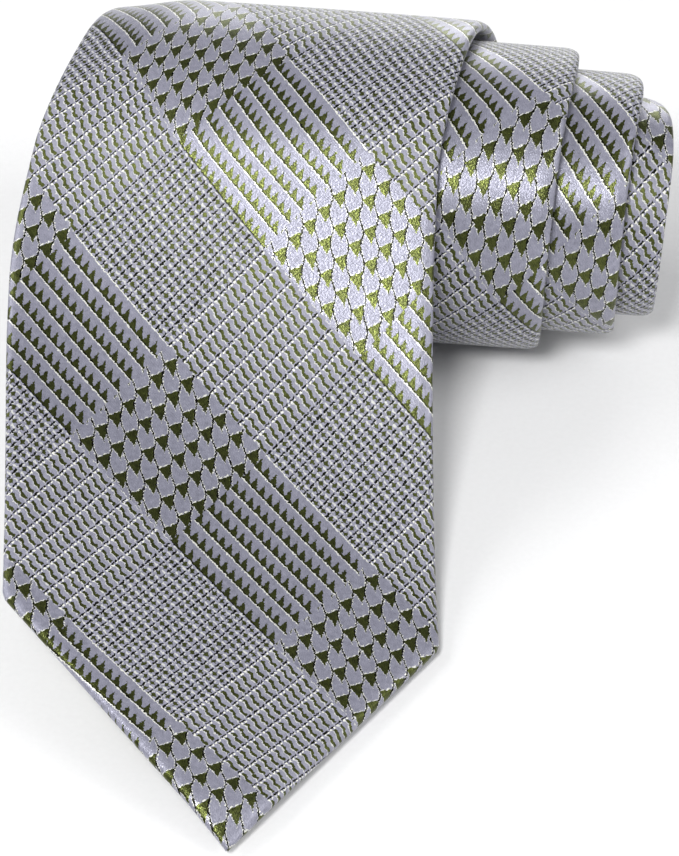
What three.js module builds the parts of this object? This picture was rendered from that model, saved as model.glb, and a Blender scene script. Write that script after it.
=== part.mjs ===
// A necktie, rolled up on a table, with the end of its wide blade drawn out over the
// top of the roll and laid down in front.
//
// Millimetres, +Z up. X runs along the axis of the roll, and the tip of the blade points
// towards -Y. The origin is under the middle of the tie, on the table.
//
// A tie is one long flat tube of cloth. Every place on it is given by three numbers:
//   s  how far along the tie, from the tip of the wide blade
//   t  how far across it, from its middle line, to the right as seen from the front
//   n  how far out through it, from the middle of its thickness, to the face side
// spot(s, t, n) bends the flat tie into its rolled shape, and every piece is lofted
// through sections written in t and n, so the pieces nest wherever the tie goes.
import * as THREE from 'three';

// ---------------------------------------------------------------- driving dimensions
// The tie laid flat
const tieLength = 1090;
const bladeHalfWidth = 42.5;
const bladeTipLength = 47.7;
const taperStart = 160; // the blade keeps its full width up to here
const neckHalfWidth = 17;
const neckStart = 640;
const neckEnd = 800;
const tailHalfWidth = 20.5;
const tailTipLength = 24;
const tipBlunt = 1.2; // how much of the sharp point the turned cloth rounds off

// The thickness: face cloth, interlining, and the two flaps of cloth at the back
const clothThickness = 0.45;
const liningThickness = 0.3;
const interliningThickness = 0.9;
const layerGap = 0.3;
const edgeRound = 0.6;
const tieThickness = 2 * clothThickness + 2 * layerGap + interliningThickness;

// The back
const seamHalfGap = 0.5; // the two flaps meet over the middle line
const hemWidth = 9;
const bladeSeamStart = 98; // the flaps part below this, towards the tip
const tailSeamEnd = 44; // and beyond this from the end of the tail
const flapSpread = 0.9; // how fast the flaps part
const barTackLength = 10;
const barTackWidth = 2.4;
const barTackHeight = 0.8;
const threadHalfWidth = 0.2;
const threadHeight = 0.35;
const keeperStart = 195;
const keeperWidth = 12;
const keeperHalfLength = 22;
const keeperThickness = 0.5;

// The three lengths of face cloth are joined at these shares of the tie's length
const frontJoin = 0.52 * tieLength;
const rearJoin = 0.76 * tieLength;

// The roll
const rollRadius = 34.3; // to the middle of the cloth, where the blade leaves the roll
const turnPitch = 4.4; // the outer turns lie loosely
const corePitch = tieThickness + 0.35; // the inner ones lie tight
const looseTurns = 3.9;
const coreClearance = 1.2; // the least radius left inside the last turn
const facet = 18; // degrees of turning between two sections

// Each turn stands out further to the right than the one around it
const stepOut = 67.5;
const stepLength = 430;
const stepEase = 25;

// The drawn-out end of the blade: a straight slope off the roll, a hollow bend, then flat
const slopeAngle = THREE.MathUtils.degToRad(45);
const bendAngle = THREE.MathUtils.degToRad(39.4);
const bendSkew = THREE.MathUtils.degToRad(-26.9); // the bend runs slantwise over the blade
const bendRadius = 72;
const flatReach = 66.1; // from the end of the bend to the tip
const slant = 0.068; // the blade lies a little slantwise to the roll
const slantFadeStart = 60;
const slantFadeEnd = 150;
const freeStep = 8; // between two sections of the drawn-out end

// The blade lifts at the top of the roll, where its pieces are parted by this gap
const hingeHalfGap = 0.15;

// ------------------------------------------------------------------- the flat outline
const smooth = (from, to, value) => THREE.MathUtils.smoothstep(value, from, to);

function halfWidth(s) {
  const towardsNeck = THREE.MathUtils.lerp(bladeHalfWidth, neckHalfWidth, smooth(taperStart, neckStart, s));
  const body = THREE.MathUtils.lerp(towardsNeck, tailHalfWidth, smooth(neckEnd, tieLength - tailTipLength, s));
  const bladeTip = bladeHalfWidth * (s + tipBlunt) / (bladeTipLength + tipBlunt);
  const tailTip = tailHalfWidth * (tieLength - s + tipBlunt) / (tailTipLength + tipBlunt);
  return Math.min(body, bladeTip, tailTip);
}

// Half the gap between the two flaps: the seam, and the opening at either end where the
// flaps narrow to a hem and show the tipping
function flapEdge(s) {
  const parted = Math.max(bladeSeamStart - s, s - (tieLength - tailSeamEnd), 0) * flapSpread;
  return Math.max(seamHalfGap, Math.min(seamHalfGap + parted, halfWidth(s) - hemWidth));
}

// ------------------------------------------------------------- bending it into a roll
// The side view of the tie is a line in Y and Z. Its direction is an angle above the
// horizontal: the slope's on the blade, 0 at the top of the roll, and falling all the
// way in. The turns are the involute of a small circle, so they are all one pitch apart.
const direction = (angle) => new THREE.Vector2(Math.cos(angle), Math.sin(angle));
const faceSide = (angle) => new THREE.Vector2(-Math.sin(angle), Math.cos(angle));
const rad = THREE.MathUtils.degToRad;

function coil(centre, radius, pitch, startAngle) {
  const shrink = pitch / (2 * Math.PI);
  const turned = (length) => (radius - Math.sqrt(radius * radius - 2 * shrink * length)) / shrink;
  return {
    centre, radius, shrink, startAngle,
    length: (turn) => radius * turn - shrink * turn * turn / 2,
    angleAt: (length) => startAngle - turned(length),
    at(angle) {
      const out = radius - shrink * (startAngle - angle);
      return faceSide(angle).multiplyScalar(out).addScaledVector(direction(angle), -shrink).add(centre);
    },
    reach: (angle) => radius - shrink * (startAngle - angle),
  };
}

const outerCoil = coil(new THREE.Vector2(0, 0), rollRadius, turnPitch, slopeAngle);
const outerTurn = slopeAngle + looseTurns * 2 * Math.PI;
const outerLength = outerCoil.length(outerTurn);
const innerAngle = slopeAngle - outerTurn;
const shrinkChange = (turnPitch - corePitch) / (2 * Math.PI);
const innerCoil = coil(
  direction(innerAngle).multiplyScalar(-shrinkChange),
  outerCoil.reach(innerAngle), corePitch, innerAngle,
);

// The end of the blade, in the plane of the slope: across, and up the slope
const bendAlong = new THREE.Vector2(Math.cos(bendSkew), Math.sin(bendSkew));
const bendDown = new THREE.Vector2(bendAlong.y, -bendAlong.x);
const bendLength = bendRadius * bendAngle;
const bendStart = (bendLength + flatReach) / Math.cos(bendSkew);
const acrossAxis = new THREE.Vector3(1, 0, 0);
const upSlope = new THREE.Vector3(0, Math.cos(slopeAngle), Math.sin(slopeAngle));
const offSlope = new THREE.Vector3(0, -Math.sin(slopeAngle), Math.cos(slopeAngle));
const inSlope = (v) => acrossAxis.clone().multiplyScalar(v.x).addScaledVector(upSlope, v.y);
const bendAlongAxis = inSlope(bendAlong);
const bendDownAxis = inSlope(bendDown);

// A place past the line where the bend starts, from that line's own origin
function pastBend(x, q, n) {
  const flat = new THREE.Vector2(x, q - bendStart);
  const down = flat.dot(bendDown);
  if (down <= 0) return inSlope(flat).addScaledVector(offSlope, n);
  const turn = Math.min(down, bendLength) / bendRadius;
  const beyond = Math.max(down - bendLength, 0);
  const run = (bendRadius - n) * Math.sin(turn) + beyond * Math.cos(turn);
  const rise = bendRadius - (bendRadius - n) * Math.cos(turn) + beyond * Math.sin(turn);
  return bendAlongAxis.clone().multiplyScalar(flat.dot(bendAlong))
    .addScaledVector(bendDownAxis, run).addScaledVector(offSlope, rise);
}

// The straight part of the slope is as long as it takes for the lowest corner of the
// blade's end to reach the same level as the bottom of the roll
const slopeTop = outerCoil.at(slopeAngle);
const halfThick = tieThickness / 2;
const bottomFacets = [-180 - facet / 2, -180 + facet / 2].map(rad);
const rollFloor = Math.min(...bottomFacets.map(
  (angle) => outerCoil.at(angle).y + faceSide(angle).y * halfThick,
));
const slantAt = (s) => slant * (1 - smooth(slantFadeStart, slantFadeEnd, s));
const tipOutline = [[0, 0], [bladeTipLength, -1], [bladeTipLength, 1]];
const tipFloor = Math.min(...tipOutline.map(([s, side]) => {
  const t = side * halfWidth(s);
  return pastBend(t - slant * s, s + slantAt(s) * t, -halfThick).z;
}));
const slopeLength = (slopeTop.y - rollFloor + tipFloor) / Math.sin(slopeAngle);
const rollStart = bendStart + slopeLength;
const bendOrigin = new THREE.Vector3(0, slopeTop.x, slopeTop.y).addScaledVector(upSlope, -slopeLength);

// The middle line's place along the roll's axis
function middle(s) {
  if (s <= rollStart) return -slant * s;
  const wound = s - rollStart;
  const eased = wound * wound / (wound + stepEase);
  const rightEdge = bladeHalfWidth - slant * rollStart + stepOut * (1 - Math.exp(-eased / stepLength));
  return rightEdge - halfWidth(s);
}

function spot(s, t, n) {
  const x = middle(s) + t;
  const q = s + slantAt(s) * t;
  if (q < rollStart) return pastBend(x, q, n).add(bendOrigin);
  const wound = q - rollStart;
  const inCore = wound > outerLength;
  const part = inCore ? innerCoil : outerCoil;
  const angle = part.angleAt(inCore ? wound - outerLength : wound);
  const p = part.at(angle).addScaledVector(faceSide(angle), n);
  return new THREE.Vector3(x, p.x, p.y);
}

const hingePlace = rollStart + outerCoil.length(slopeAngle);

// ------------------------------------------------------------------------- stations
// Where the sections stand: evenly down the blade, then at equal angles round the roll,
// with one flat of the roll facing straight down
function rollStations() {
  const stations = [];
  const lastAngle = innerCoil.angleAt(Math.min(
    tieLength - rollStart - outerLength,
    (innerCoil.radius ** 2 - (coreClearance + halfThick) ** 2) / (2 * innerCoil.shrink),
  ));
  for (let degrees = -slopeAngle * 180 / Math.PI; degrees < -lastAngle * 180 / Math.PI; degrees += facet) {
    const angle = -rad(degrees);
    const inCore = angle < innerAngle;
    stations.push(rollStart + (inCore
      ? outerLength + innerCoil.length(innerAngle - angle)
      : outerCoil.length(slopeAngle - angle)));
  }
  return stations;
}

function bladeStations() {
  const count = Math.round(rollStart / freeStep);
  return Array.from({ length: count }, (_, i) => rollStart * i / count);
}

const allStations = [...bladeStations(), ...rollStations()];

// Every layer also has a section at each corner of the outline and at each end of the
// small pieces on its back, so that all layers bend at the same places
const tailSeam = tieLength - tailSeamEnd;
const bladeTack = bladeSeamStart + 1;
const tailTack = tailSeam - 1 - barTackWidth;
const corners = [
  bladeTipLength, bladeSeamStart, bladeTack + barTackWidth,
  keeperStart, keeperStart + keeperWidth, frontJoin, rearJoin,
  tailTack, tailSeam, tieLength - tailTipLength,
];

// The sections of a stretch of the tie, from its one end to its other
function stationsBetween(from, to) {
  const clear = 1.0;
  const fixed = [from, to, ...corners.filter((s) => s > from + clear && s < to - clear)];
  const inside = allStations.filter((s) => fixed.every((f) => Math.abs(s - f) > clear) && s > from && s < to);
  return [...fixed, ...inside].sort((a, b) => a - b);
}

// -------------------------------------------------------------------------- lofting
// A section is a list of rungs, each with an outer and an inner point. The rungs of one
// station join those of the next, and a cap of rungs closes either end.
function loft(stations, section) {
  const rungs = section(stations[0]).length;
  const ring = 2 * rungs;
  const corners = [];
  for (const s of stations) {
    const rung = section(s);
    const loop = [...rung.map((r) => r.outer), ...rung.map((r) => r.inner).reverse()];
    for (const [t, n] of loop) corners.push(spot(s, t, n));
  }
  const index = [];
  const quad = (a, b, c, d) => index.push(a, c, b, a, d, c);
  for (let k = 0; k + 1 < stations.length; k += 1) {
    for (let i = 0; i < ring; i += 1) {
      const j = (i + 1) % ring;
      quad(k * ring + i, k * ring + j, (k + 1) * ring + j, (k + 1) * ring + i);
    }
  }
  const last = (stations.length - 1) * ring;
  for (let i = 0; i + 1 < rungs; i += 1) {
    const a = i;
    const b = i + 1;
    const c = ring - 2 - i;
    const d = ring - 1 - i;
    quad(a, d, c, b);
    quad(last + a, last + b, last + c, last + d);
  }
  const geometry = new THREE.BufferGeometry();
  geometry.setFromPoints(corners);
  geometry.setIndex(index);
  geometry.computeVertexNormals();
  return geometry;
}

// The folded cloth: from one flap's free edge, round the side, over the face, round the
// other side, to the other flap's edge
function clothSection(s, fine) {
  const half = halfWidth(s);
  const free = flapEdge(s);
  const round = Math.min(edgeRound, half * 0.4);
  const inset = clothThickness + layerGap;
  const back = -halfThick;
  const right = [
    { outer: [free, back], inner: [free, back + clothThickness] },
    ...(fine ? [{
      outer: [(free + half - round) / 2, back],
      inner: [(free + half - round) / 2, back + clothThickness],
    }] : []),
    { outer: [half - round, back], inner: [half - inset, back + clothThickness] },
    { outer: [half, back + edgeRound], inner: [half - clothThickness, back + inset] },
    { outer: [half, halfThick - edgeRound], inner: [half - clothThickness, halfThick - inset] },
    { outer: [half - round, halfThick], inner: [half - inset, halfThick - clothThickness] },
    ...(fine ? [{ outer: [half / 2, halfThick], inner: [half / 2 * 0.98, halfThick - clothThickness] }] : []),
  ];
  const flip = ([t, n]) => [-t, n];
  const left = right.map((r) => ({ outer: flip(r.outer), inner: flip(r.inner) })).reverse();
  const centre = fine ? [{ outer: [0, halfThick], inner: [0, halfThick - clothThickness] }] : [];
  return [...right, ...centre, ...left];
}

const fineCloth = (s) => clothSection(s, true);
const plainCloth = (s) => clothSection(s, false);

// A flat layer of a given half width between two levels
function flatSection(half, low, high, parts) {
  return Array.from({ length: parts + 1 }, (_, i) => {
    const t = half * (2 * i / parts - 1);
    return { outer: [t, low], inner: [t, high] };
  });
}

const interliningHalf = (s) => halfWidth(s) - clothThickness - 2 * layerGap;
const interliningLayer = (parts) => (s) => flatSection(
  interliningHalf(s), -interliningThickness / 2, interliningThickness / 2, parts,
);
const tippingLow = -halfThick + 0.05;
const tippingLayer = (parts) => (s) => flatSection(
  flapEdge(s) - layerGap, tippingLow, tippingLow + liningThickness, parts,
);
const onBack = -halfThick - layerGap;
const tackLayer = () => flatSection(barTackLength / 2, onBack - barTackHeight, onBack, 2);
const keeperLayer = () => flatSection(keeperHalfLength, onBack - keeperThickness, onBack, 2);
const threadLow = -halfThick + 0.02;
const threadLine = () => flatSection(threadHalfWidth, threadLow, threadLow + threadHeight, 1);

// ------------------------------------------------------------------------ materials
const finishes = {
  cloth: { color: 0xa9a8b4, roughness: 0.55, metalness: 0 },
  interlining: { color: 0xe6e0d2, roughness: 0.95, metalness: 0 },
  lining: { color: 0x4a4b2c, roughness: 0.5, metalness: 0 },
  thread: { color: 0x9a9a86, roughness: 0.7, metalness: 0 },
};

const tie = new THREE.Group();

function addPiece(name, finish, stations, section) {
  const piece = new THREE.Mesh(loft(stations, section), new THREE.MeshStandardMaterial(finishes[finish]));
  piece.name = name;
  tie.add(piece);
}

// --------------------------------------------------------- the drawn-out blade's pieces
const bladeEnd = hingePlace - hingeHalfGap;
const rollBegin = hingePlace + hingeHalfGap;
const interliningTip = 7;
const tippingTip = 18;
const bladeParts = 4;
const blade = (from) => stationsBetween(from, bladeEnd);
addPiece('blade_cloth', 'cloth', blade(0), fineCloth);
addPiece('blade_interlining', 'interlining', blade(interliningTip), interliningLayer(bladeParts));
addPiece('blade_tipping', 'lining', stationsBetween(tippingTip, bladeSeamStart), tippingLayer(bladeParts));
addPiece('blade_bar_tack', 'thread', [bladeTack, bladeTack + barTackWidth], tackLayer);
addPiece('blade_slip_stitch', 'thread', blade(bladeTack), threadLine);

// ------------------------------------------------------------------ the roll's pieces
const tailInterlining = tieLength - 6;
const tailTipping = tieLength - 12;
const onRoll = (to) => stationsBetween(rollBegin, to);
addPiece('wound_blade_cloth', 'cloth', onRoll(frontJoin), plainCloth);
addPiece('neck_cloth', 'cloth', stationsBetween(frontJoin + layerGap, rearJoin), plainCloth);
addPiece('tail_cloth', 'cloth', stationsBetween(rearJoin + layerGap, tieLength), plainCloth);
addPiece('roll_interlining', 'interlining', onRoll(tailInterlining), interliningLayer(1));
addPiece('roll_slip_stitch', 'thread', onRoll(tailSeam - layerGap), threadLine);
addPiece('tail_tipping', 'lining', stationsBetween(tailSeam, tailTipping), tippingLayer(2));
addPiece('tail_bar_tack', 'thread', stationsBetween(tailTack, tailTack + barTackWidth), tackLayer);
addPiece('keeper_loop', 'cloth', stationsBetween(keeperStart, keeperStart + keeperWidth), keeperLayer);

// ---------------------------------------------------------- standing it on the origin
const box = new THREE.Box3().setFromObject(tie);
const centre = box.getCenter(new THREE.Vector3());
tie.position.set(-centre.x, -centre.y, -box.min.z);
tie.updateMatrixWorld(true);

export default tie;
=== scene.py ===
# %% [markdown]
# # A necktie, rolled up with its wide blade laid out in front
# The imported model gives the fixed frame: metres, Z up, the roll's axis along X and the
# tip of the wide blade towards -Y. Every piece below is made in that frame.
# %% The frame
import math
import bpy
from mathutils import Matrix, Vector


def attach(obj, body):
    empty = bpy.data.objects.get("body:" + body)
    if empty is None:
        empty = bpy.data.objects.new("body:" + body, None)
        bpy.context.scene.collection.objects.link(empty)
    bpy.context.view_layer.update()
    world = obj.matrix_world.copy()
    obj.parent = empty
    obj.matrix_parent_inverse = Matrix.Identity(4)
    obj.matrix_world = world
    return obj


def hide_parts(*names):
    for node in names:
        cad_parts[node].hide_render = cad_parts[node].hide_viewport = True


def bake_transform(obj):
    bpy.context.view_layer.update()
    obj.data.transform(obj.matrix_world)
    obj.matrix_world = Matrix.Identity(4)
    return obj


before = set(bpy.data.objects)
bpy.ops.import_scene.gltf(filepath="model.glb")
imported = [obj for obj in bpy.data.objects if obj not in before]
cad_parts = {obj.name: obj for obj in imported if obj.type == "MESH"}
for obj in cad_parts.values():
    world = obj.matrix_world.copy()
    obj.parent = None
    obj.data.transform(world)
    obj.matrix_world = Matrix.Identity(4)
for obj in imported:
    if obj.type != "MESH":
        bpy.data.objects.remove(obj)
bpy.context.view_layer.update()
bpy.ops.object.select_all(action="DESELECT")
MM = 0.001

# %% [markdown]
# The camera looks down at the tie from in front, a little from the right. A long lens
# stands far off, and keeps the roll and the tip at nearly one scale.
# %% The camera
camera_data = bpy.data.cameras.new("view")
camera_data.lens = 143.58
camera_data.clip_start = 0.01
camera = bpy.data.objects.new("view", camera_data)
camera.location = (0.05933, -0.50503, 0.46757)
LOOK_DOWN, LOOK_LEFT = 0.72252, 0.12193  # radians
camera.rotation_euler = (math.pi / 2 - LOOK_DOWN, 0, LOOK_LEFT)
bpy.context.collection.objects.link(camera)
bpy.context.scene.camera = camera
print("camera at", tuple(camera.location))

# %% [markdown]
# A tie is one flat tube of cloth, about as wide as a hand at its front blade and half of
# that at the neck. Its outline is written along its length s, from the tip of the wide
# blade, and all lengths here are millimetres of cloth.
# %% The outline of the flat tie
TIE_LENGTH = 1090.0
BLADE_HALF, NECK_HALF, TAIL_HALF = 42.5, 17.0, 20.5
BLADE_TIP, TAIL_TIP, TIP_BLUNT = 47.7, 24.0, 1.2
TAPER_START, NECK_START, NECK_END = 160.0, 640.0, 800.0
FRONT_JOIN, REAR_JOIN = 0.52 * TIE_LENGTH, 0.76 * TIE_LENGTH
BLADE_SEAM, TAIL_SEAM = 98.0, TIE_LENGTH - 44.0
FLAP_GAP, FLAP_HEM, FLAP_SPREAD = 0.5, 9.0, 0.9  # the flaps part 0.9 mm for every mm


def smooth(near, far, x):
    """0 up to near, 1 from far on, and smooth between them, in either direction."""
    share = min(max((x - near) / (far - near), 0.0), 1.0)
    return share * share * (3 - 2 * share)


def half_width(s):
    """Half the tie's width at s."""
    to_neck = BLADE_HALF + (NECK_HALF - BLADE_HALF) * smooth(TAPER_START, NECK_START, s)
    body = to_neck + (TAIL_HALF - to_neck) * smooth(NECK_END, TIE_LENGTH - TAIL_TIP, s)
    blade_tip = BLADE_HALF * (s + TIP_BLUNT) / (BLADE_TIP + TIP_BLUNT)
    tail_tip = TAIL_HALF * (TIE_LENGTH - s + TIP_BLUNT) / (TAIL_TIP + TIP_BLUNT)
    return min(body, blade_tip, tail_tip)


def flap_edge(s):
    """Half the gap between the two flaps at the back, which part towards either tip."""
    parted = max(BLADE_SEAM - s, s - TAIL_SEAM, 0.0) * FLAP_SPREAD
    return max(FLAP_GAP, min(FLAP_GAP + parted, half_width(s) - FLAP_HEM))


print("half widths", [round(half_width(s), 1) for s in (10, 60, 300, 700, 1080)])

# %% [markdown]
# The tie is bent into its roll by one function of three numbers: s along the tie, t across
# it and n out through its face. The blade's end lies on the table, a slantwise bend lifts
# it to a slope of 45 degrees, and from there the turns follow a spiral whose outer turns
# stand 4.4 mm apart and whose inner ones are tight.
# %% Bending the flat tie into its roll
ROLL_RADIUS, TURN_PITCH, CORE_PITCH, LOOSE_TURNS = 34.3, 4.4, 2.75, 3.9
SLOPE, BEND, BEND_SKEW = math.radians(45), math.radians(39.4), math.radians(-26.9)
BEND_RADIUS, BEND_START, SLOPE_LENGTH = 72.0, 129.639, 21.152
ROLL_START = BEND_START + SLOPE_LENGTH
ROLL_AXIS = (-19.4758, 63.8024, 32.3477)  # where the spiral's own origin stands


def coil_length(radius, pitch, turn):
    return radius * turn - pitch / math.tau * turn * turn / 2


OUTER_TURN = SLOPE + LOOSE_TURNS * math.tau
OUTER_LENGTH = coil_length(ROLL_RADIUS, TURN_PITCH, OUTER_TURN)
CORE_ANGLE = SLOPE - OUTER_TURN
CORE_RADIUS = ROLL_RADIUS - TURN_PITCH / math.tau * OUTER_TURN
CORE_SHIFT = -(TURN_PITCH - CORE_PITCH) / math.tau


def on_coil(wound):
    """The angle, the reach and the place (y, z) of the cloth's middle on the spiral."""
    core = wound > OUTER_LENGTH
    radius, pitch, start = (
        (CORE_RADIUS, CORE_PITCH, CORE_ANGLE) if core
        else (ROLL_RADIUS, TURN_PITCH, SLOPE)
    )
    length = wound - OUTER_LENGTH if core else wound
    shrink = pitch / math.tau
    turned = (radius - math.sqrt(radius * radius - 2 * shrink * length)) / shrink
    angle, reach = start - turned, radius - shrink * turned
    y = -math.sin(angle) * reach - shrink * math.cos(angle)
    z = math.cos(angle) * reach - shrink * math.sin(angle)
    if core:
        y += math.cos(CORE_ANGLE) * CORE_SHIFT
        z += math.sin(CORE_ANGLE) * CORE_SHIFT
    return angle, reach, y, z


def on_slope(x, up, off):
    """A place in the plane of the slope: across, up the slope and off its face."""
    _, _, top_y, top_z = on_coil(0.0)
    along = up - SLOPE_LENGTH
    c, s = math.cos(SLOPE), math.sin(SLOPE)
    return x, top_y + along * c - off * s, top_z + along * s + off * c


def on_blade(x, q, n):
    """The drawn-out end: the slope, then the hollow bend, then the flat."""
    along_x, along_q = math.cos(BEND_SKEW), math.sin(BEND_SKEW)
    down_x, down_q = along_q, -along_x
    q -= BEND_START
    down = x * down_x + q * down_q
    if down <= 0:
        return on_slope(x, q, n)
    bend_length = BEND_RADIUS * BEND
    turn = min(down, bend_length) / BEND_RADIUS
    beyond = max(down - bend_length, 0.0)
    run = (BEND_RADIUS - n) * math.sin(turn) + beyond * math.cos(turn)
    rise = BEND_RADIUS - (BEND_RADIUS - n) * math.cos(turn) + beyond * math.sin(turn)
    across = x * along_x + q * along_q
    return on_slope(across * along_x + run * down_x, across * along_q + run * down_q, rise)


print("the outer turns use", round(OUTER_LENGTH, 1), "mm of cloth")

# %% [markdown]
# Nobody winds a tie dead straight. The drawn-out end runs a little askew, and each turn
# stands out further to the right than the one round it, by less and less. The left
# shoulder droops and is drawn in where the blade comes over the top of the roll. The
# outer turns lean, every turn is drawn in at the back, and the turns inside the fourth
# are held back so that they don't stand out past it.
# %% How the tie leans, droops and steps out
SKEW = 0.068  # mm across for every mm along the drawn-out end; the rest are mm
STEP_OUT, STEP_LENGTH, STEP_EASE = 67.5, 430.0, 25.0  # how far, over how much wound cloth
CREST_LEAN, SLOPE_LEAN = 0.6, 0.8
SHOULDER_IN, SHOULDER_DROOP = 6.0, 2.4
TURN_LEAN, TURN_OUT, BACK_IN = 2.2, 2.0, 7.0
FOURTH_IN, FIFTH_IN, CORE_IN = 1.0, 12.0, 4.0


def middle(s):
    """The middle line's place along the roll."""
    if s <= ROLL_START:
        return -SKEW * s
    wound = s - ROLL_START
    eased = wound * wound / (wound + STEP_EASE)
    stepped = STEP_OUT * (1 - math.exp(-eased / STEP_LENGTH))
    return BLADE_HALF - SKEW * ROLL_START + stepped - half_width(s)


def turn_shift(wound, angle):
    """How far a turn that leans, or is held back, is moved along the roll."""
    shown = smooth(80, 140, wound)
    lean = TURN_LEAN * math.cos(angle) * shown * (1 - 0.95 * smooth(225, 520, wound))
    out = TURN_OUT * shown * (1 - 0.6 * smooth(225, 320, wound))
    inner = FOURTH_IN * smooth(400, 500, wound) + FIFTH_IN * smooth(525, 590, wound)
    core = CORE_IN * smooth(640, 860, wound)
    back = BACK_IN * shown * max(0.0, -math.sin(angle)) ** 2
    return out - lean - inner - core - back


print("middle line at 100 mm and at the end", round(middle(100), 1), round(middle(TIE_LENGTH), 1))

# %% [markdown]
# One function puts all of this together, and every layer of the tie is laid by it, so
# that they stay the same distance from each other. Each lean or droop fades in and out
# between two places along the cloth, and no kink shows where it begins.
# %% Where any place of the flat tie lies
def spot(s, t, n):
    """Where the flat tie's place (s, t, n) lies on the rolled tie, in metres."""
    crest = smooth(120, 178, s) * (1 - smooth(205, 300, s))
    slope = smooth(60, 120, s) * (1 - smooth(130, 180, s))
    x = middle(s) + t + CREST_LEAN * crest - SLOPE_LEAN * slope
    x += SHOULDER_IN * crest * smooth(12, -BLADE_HALF, t)
    n -= SHOULDER_DROOP * crest * smooth(-22, -BLADE_HALF, t)
    q = s + SKEW * (1 - smooth(60, 150, s)) * t
    if q < ROLL_START:
        x, y, z = on_blade(x, q, n)
    else:
        angle, _, y, z = on_coil(q - ROLL_START)
        x += turn_shift(s - ROLL_START, angle)
        y, z = y - math.sin(angle) * n, z + math.cos(angle) * n
    return tuple(MM * (a + b) for a, b in zip((x, y, z), ROLL_AXIS))


def stations(start, end, coarse=1.6):
    """Places along the tie from start to end, closer together where the roll is tight."""
    out, s = [start], start
    while True:
        reach = on_coil(s - ROLL_START)[1] if s > ROLL_START else ROLL_RADIUS
        s += min(coarse, max(0.7, reach * 0.075))
        if s > end - 0.4:
            return out + [end]
        out.append(s)


UNDER_ROLL = SLOPE + math.radians(165)  # how far the cloth has turned by then
SPLIT = ROLL_START + coil_length(ROLL_RADIUS, TURN_PITCH, UNDER_ROLL)
print("tip", spot(0, 0, 0), "split at", round(SPLIT, 1))

# %% [markdown]
# Colours are chosen as the hex values seen on a screen, and shaders work with linear
# light, so one function turns the first into the second. One more adds a node to a
# material, sets it up and links what feeds it.
# %% Helpers for materials
def linear(hex_colour):
    channels = [int(hex_colour[i:i + 2], 16) / 255 for i in (1, 3, 5)]
    return tuple(
        c / 12.92 if c <= 0.04045 else ((c + 0.055) / 1.055) ** 2.4 for c in channels
    ) + (1.0,)


def add_node(tree, kind, *inputs, **settings):
    """Adds a node. Its inputs, by place, are numbers, colours, or nodes to link from."""
    node = tree.nodes.new("ShaderNode" + kind)
    for key, value in settings.items():
        setattr(node, key, value)
    sockets = [socket for socket in node.inputs if socket.enabled]
    for socket, value in zip(sockets, inputs):
        if isinstance(value, bpy.types.Node):
            tree.links.new(value.outputs[0], socket)
        elif isinstance(value, bpy.types.NodeSocket):
            tree.links.new(value, socket)
        elif value is not None:
            socket.default_value = value
    return node


def new_material(name):
    material = bpy.data.materials.new(name)
    material.use_nodes = True
    tree = material.node_tree
    return material, tree, tree.nodes["Principled BSDF"]


print("linear lilac", linear("#A8A8BC"))

# %% [markdown]
# The face cloth is woven silk, cut on the bias, in a large check: two bands of broad
# repeats cross two bands of fine ones. That gives four fields. Broad on broad makes
# four-pointed stars, fine on fine a small grid, and the two mixed fields make rows of
# teeth and rows of waves.
# %% Silk: where each field of the check lies
BROAD_P, FINE_P = 29.4, 30.1  # band widths along the first thread direction
BROAD_Q, FINE_Q = 30.8, 29.6  # and along the second
STAR_P, STAR_Q = BROAD_P / 6, BROAD_Q / 7  # six and seven stars to a band
GRID_P, GRID_Q = FINE_P / 14, FINE_Q / 15
WAVES_P, TEETH_Q = BROAD_P / 7, BROAD_Q / 8
THREAD_P, THREAD_Q = (0.660, -0.751), (0.638, 0.770)  # the thread directions on the cloth
CORNER = (-10.4, 109.6)  # one corner where four fields meet

silk, tree, silk_shader = new_material("woven_silk_check")
cloth_map = add_node(tree, "UVMap", uv_map="Cloth")
# threads never lie dead straight, so the map wavers by an eighth of a millimetre
waver = add_node(tree, "TexNoise", cloth_map, 2.1, 1.0, 0.5)
waver_centred = add_node(tree, "VectorMath", waver.outputs["Color"], (0.5, 0.5, 0.5),
                         operation="SUBTRACT")
waver_small = add_node(tree, "VectorMath", waver_centred, (0.8, 0.8, 0), operation="MULTIPLY")
wavering = add_node(tree, "VectorMath", cloth_map, waver_small, operation="ADD")
placed = add_node(tree, "VectorMath", wavering, (*CORNER, 0), operation="SUBTRACT")

determinant = THREAD_P[0] * THREAD_Q[1] - THREAD_P[1] * THREAD_Q[0]
along_p = add_node(tree, "VectorMath", placed,
                   (THREAD_Q[1] / determinant, -THREAD_Q[0] / determinant, 0),
                   operation="DOT_PRODUCT").outputs["Value"]
along_q = add_node(tree, "VectorMath", placed,
                   (-THREAD_P[1] / determinant, THREAD_P[0] / determinant, 0),
                   operation="DOT_PRODUCT").outputs["Value"]
from_corner = add_node(tree, "Math", along_q, BROAD_Q, operation="ADD")
band_p = add_node(tree, "Math", along_p, BROAD_P + FINE_P, 0.0, operation="WRAP")
band_q = add_node(tree, "Math", from_corner, BROAD_Q + FINE_Q, 0.0, operation="WRAP")
in_broad_p = add_node(tree, "Math", band_p, BROAD_P, operation="LESS_THAN")
in_broad_q = add_node(tree, "Math", band_q, BROAD_Q, operation="LESS_THAN")
print("one check is", BROAD_P + FINE_P, "by", BROAD_Q + FINE_Q, "mm")

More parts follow.
